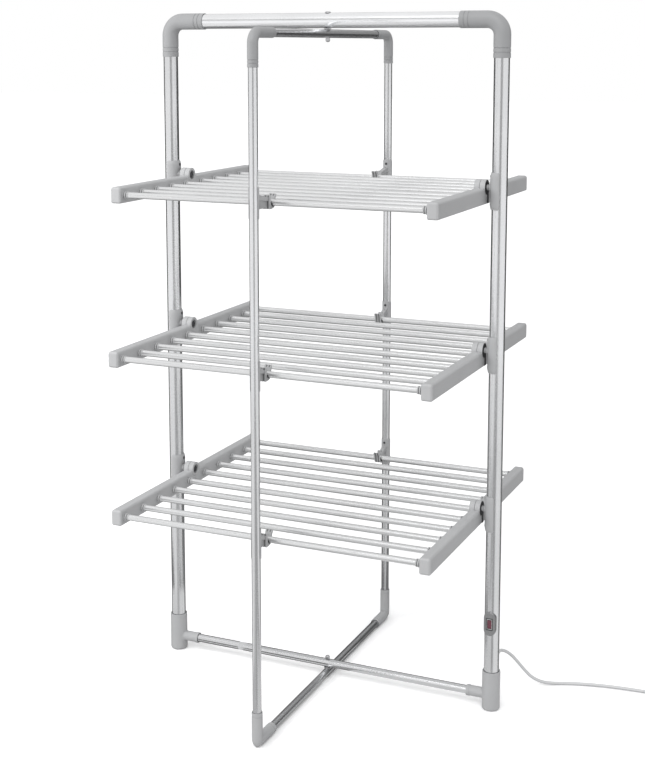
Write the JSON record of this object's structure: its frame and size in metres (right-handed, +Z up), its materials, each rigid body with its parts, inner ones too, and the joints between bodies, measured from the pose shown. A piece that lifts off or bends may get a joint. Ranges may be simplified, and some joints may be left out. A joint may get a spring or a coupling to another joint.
{
  "type": "heated clothes airer",
  "caption": "Folding electric clothes airer: a wide tube frame with a narrower frame hinged across it, tiers of heated bars that fold up, rocker switch and mains cord.",
  "frame": {"origin": "on the floor below the vertical hinge line of the two frames, midway between the feet", "axes": "+X along the drying bars to the side with the switch and the cord, -Y to the front where the switch faces, +Z up"},
  "size_m": [1.1227, 0.6991, 1.3812],
  "materials": {
    "tube": "satin anodised",
    "grey_plastic": "moulded, fine matt",
    "rail_plastic": "moulded, fine matt",
    "bar": "satin, light",
    "steel": "zinc plated",
    "dark_plastic": "moulded, matt",
    "dark_bolt": "blackened",
    "red_plastic": "translucent, gloss",
    "wire_sleeve": "silicone",
    "cord_jacket": "smooth jacket"
  },
  "bodies": {
    "wide_frame": {"right_upright": "tube", "left_upright": "tube", "wide_top_bar": "tube", "wide_bottom_bar": "tube", "right_elbow": "grey_plastic", "left_elbow": "grey_plastic", "right_foot": "grey_plastic", "left_foot": "grey_plastic", "top_pivot_bolt": "steel", "bottom_pivot_bolt": "steel", "switch_bezel": "dark_plastic", "cord_boot": "grey_plastic", "cord": "cord_jacket", "cord_coil": "cord_jacket", "plug": "cord_jacket", "lower_left_saddle": "grey_plastic", "lower_left_hub_bolt": "dark_bolt", "lower_right_saddle": "grey_plastic", "lower_right_hub_bolt": "dark_bolt", "middle_left_saddle": "grey_plastic", "middle_left_hub_bolt": "dark_bolt", "middle_right_saddle": "grey_plastic", "middle_right_hub_bolt": "dark_bolt", "upper_left_saddle": "grey_plastic", "upper_left_hub_bolt": "dark_bolt", "upper_right_saddle": "grey_plastic", "upper_right_hub_bolt": "dark_bolt"},
    "narrow_frame": {"narrow_top_bar": "tube", "narrow_bottom_bar": "tube", "front_upright": "tube", "back_upright": "tube", "front_elbow": "grey_plastic", "back_elbow": "grey_plastic", "front_foot": "grey_plastic", "back_foot": "grey_plastic", "lower_front_catch": "grey_plastic", "lower_back_catch": "grey_plastic", "middle_front_catch": "grey_plastic", "middle_back_catch": "grey_plastic", "upper_front_catch": "grey_plastic", "upper_back_catch": "grey_plastic"},
    "rocker": {"switch_rocker": "red_plastic"},
    "lower_front_half": {"lower_front_bars_and_rail": "bar", "lower_front_free_rail": "rail_plastic", "lower_front_heating_wire": "wire_sleeve"},
    "lower_back_half": {"lower_back_bars_and_rail": "bar", "lower_back_free_rail": "rail_plastic", "lower_back_heating_wire": "wire_sleeve"},
    "middle_front_half": {"middle_front_bars_and_rail": "bar", "middle_front_free_rail": "rail_plastic", "middle_front_heating_wire": "wire_sleeve"},
    "middle_back_half": {"middle_back_bars_and_rail": "bar", "middle_back_free_rail": "rail_plastic", "middle_back_heating_wire": "wire_sleeve"},
    "upper_front_half": {"upper_front_bars_and_rail": "bar", "upper_front_free_rail": "rail_plastic", "upper_front_heating_wire": "wire_sleeve"},
    "upper_back_half": {"upper_back_bars_and_rail": "bar", "upper_back_free_rail": "rail_plastic", "upper_back_heating_wire": "wire_sleeve"}
  },
  "joints": [
    {"name": "frame_swing", "type": "hinge", "parent": "wide_frame", "child": "narrow_frame", "pos_m": [0, 0, 0.69], "axis": [0, 0, 1], "range_deg": [0, 82]},
    {"name": "switch_rocker_tilt", "type": "hinge", "parent": "wide_frame", "child": "rocker", "pos_m": [0.357, -0.0158, 0.183], "axis": [-1, 0, 0], "range_deg": [0, 14]},
    {"name": "lower_front_fold", "type": "hinge", "parent": "wide_frame", "child": "lower_front_half", "pos_m": [0, 0, 0.41165], "axis": [-1, 0, 0], "range_deg": [0, 90]},
    {"name": "lower_back_fold", "type": "hinge", "parent": "wide_frame", "child": "lower_back_half", "pos_m": [0, 0, 0.41165], "axis": [1, 0, 0], "range_deg": [0, 90]},
    {"name": "middle_front_fold", "type": "hinge", "parent": "wide_frame", "child": "middle_front_half", "pos_m": [0, 0, 0.72915], "axis": [-1, 0, 0], "range_deg": [0, 90]},
    {"name": "middle_back_fold", "type": "hinge", "parent": "wide_frame", "child": "middle_back_half", "pos_m": [0, 0, 0.72915], "axis": [1, 0, 0], "range_deg": [0, 90]},
    {"name": "upper_front_fold", "type": "hinge", "parent": "wide_frame", "child": "upper_front_half", "pos_m": [0, 0, 1.04665], "axis": [-1, 0, 0], "range_deg": [0, 90]},
    {"name": "upper_back_fold", "type": "hinge", "parent": "wide_frame", "child": "upper_back_half", "pos_m": [0, 0, 1.04665], "axis": [1, 0, 0], "range_deg": [0, 90]}
  ],
  "couplings": [
    {"joint": "lower_front_fold", "follows": "frame_swing", "ratio": 1.0975},
    {"joint": "lower_back_fold", "follows": "frame_swing", "ratio": 1.0975},
    {"joint": "middle_front_fold", "follows": "frame_swing", "ratio": 1.0975},
    {"joint": "middle_back_fold", "follows": "frame_swing", "ratio": 1.0975},
    {"joint": "upper_front_fold", "follows": "frame_swing", "ratio": 1.0975},
    {"joint": "upper_back_fold", "follows": "frame_swing", "ratio": 1.0975}
  ]
}
